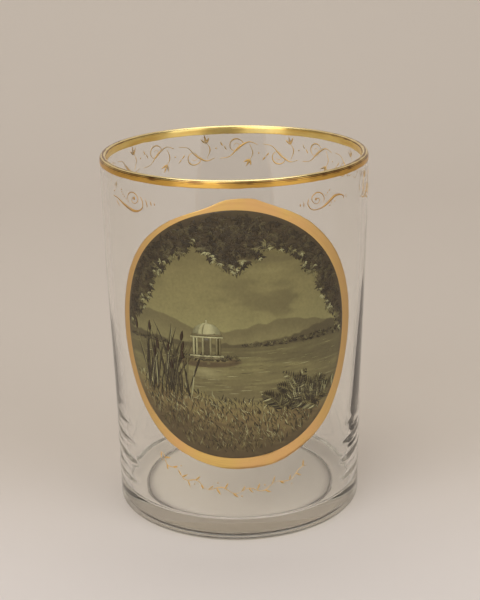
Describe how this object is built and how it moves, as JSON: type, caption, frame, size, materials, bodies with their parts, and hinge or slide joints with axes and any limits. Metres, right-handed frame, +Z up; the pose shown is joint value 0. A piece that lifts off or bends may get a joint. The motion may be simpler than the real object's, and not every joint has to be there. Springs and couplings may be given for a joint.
{
  "type": "glass beaker",
  "caption": "Straight-sided drinking glass that widens slightly upwards, with a thick foot, a gilded lip, an oval enamel picture in a gold frame and gilded scrollwork.",
  "frame": {"origin": "middle of the underside, on the plane the beaker stands on", "axes": "+Z up along the beaker's axis, -Y towards the side with the picture, +X to the right as the picture is seen"},
  "size_m": [0.0732, 0.0733, 0.1008],
  "materials": {
    "glass": "clear, blown and fire-polished, with a faint warm grey cast",
    "gilding": "burnished gold, brushed on by hand and worn thin at the edges",
    "enamel": "glossy opaque enamel painted in olive green and brown tones"
  },
  "bodies": {
    "root": {"glass_body": "glass", "rim_gilding": "gilding", "medallion_enamel": "enamel", "medallion_frame": "gilding", "scroll_left": "gilding", "scroll_right": "gilding", "lower_spray": "gilding", "back_border": "gilding"}
  },
  "joints": []
}
